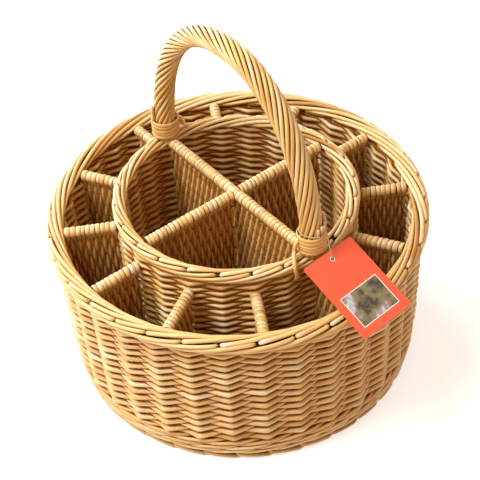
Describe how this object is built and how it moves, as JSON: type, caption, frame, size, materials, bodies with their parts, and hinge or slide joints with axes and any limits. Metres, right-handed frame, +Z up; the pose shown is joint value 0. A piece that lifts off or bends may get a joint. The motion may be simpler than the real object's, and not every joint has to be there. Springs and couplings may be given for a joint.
{
  "type": "willow drinks carrier basket",
  "caption": "Round woven willow carrier with a raised bottle ring, partitioned glass places around it, a roped arch handle and a hanging card tag.",
  "frame": {"origin": "on the floor, under the middle of the base", "axes": "+Z up, +X towards the handle's front foot, where the tag hangs"},
  "size_m": [0.5489, 0.5182, 0.5182],
  "materials": {
    "willow_honey": "satin",
    "willow_pale": "satin",
    "willow_dark": "matte",
    "card": "satin",
    "string": "matte"
  },
  "bodies": {
    "basket": {"base_panel": "willow_dark", "foot_wale": "willow_honey", "outer_wall": "willow_honey", "outer_border": "willow_pale", "ring_wall": "willow_honey", "ring_border": "willow_pale", "handle_rope": "willow_honey", "bow_end_front": "willow_dark", "bow_end_back": "willow_dark", "foot_band_front": "willow_pale", "foot_band_back": "willow_pale", "tag_string": "string", "divider_panel_01": "willow_dark", "divider_panel_02": "willow_dark", "divider_panel_03": "willow_dark", "divider_panel_04": "willow_dark", "divider_panel_05": "willow_dark", "divider_panel_06": "willow_dark", "divider_panel_07": "willow_dark", "divider_panel_08": "willow_dark", "divider_panel_09": "willow_dark", "divider_panel_10": "willow_dark", "divider_panel_11": "willow_dark", "divider_panel_12": "willow_dark", "cross_panel_long": "willow_dark", "cross_panel_left": "willow_dark", "cross_panel_right": "willow_dark", "divider_rail_01": "willow_pale", "divider_rail_02": "willow_pale", "divider_rail_03": "willow_pale", "divider_rail_04": "willow_pale", "divider_rail_05": "willow_pale", "divider_rail_06": "willow_pale", "divider_rail_07": "willow_pale", "divider_rail_08": "willow_pale", "divider_rail_09": "willow_pale", "divider_rail_10": "willow_pale", "divider_rail_11": "willow_pale", "divider_rail_12": "willow_pale", "cross_rail_long": "willow_pale", "cross_rail_left": "willow_pale", "cross_rail_right": "willow_pale"},
    "tag": {"swing_tag": "card"}
  },
  "joints": [
    {"name": "tag_swing", "type": "hinge", "parent": "basket", "child": "tag", "pos_m": [0.18985, 0.006, 0.27779], "axis": [0.0837, -0.9965, 0], "range_deg": [0, 100]}
  ]
}
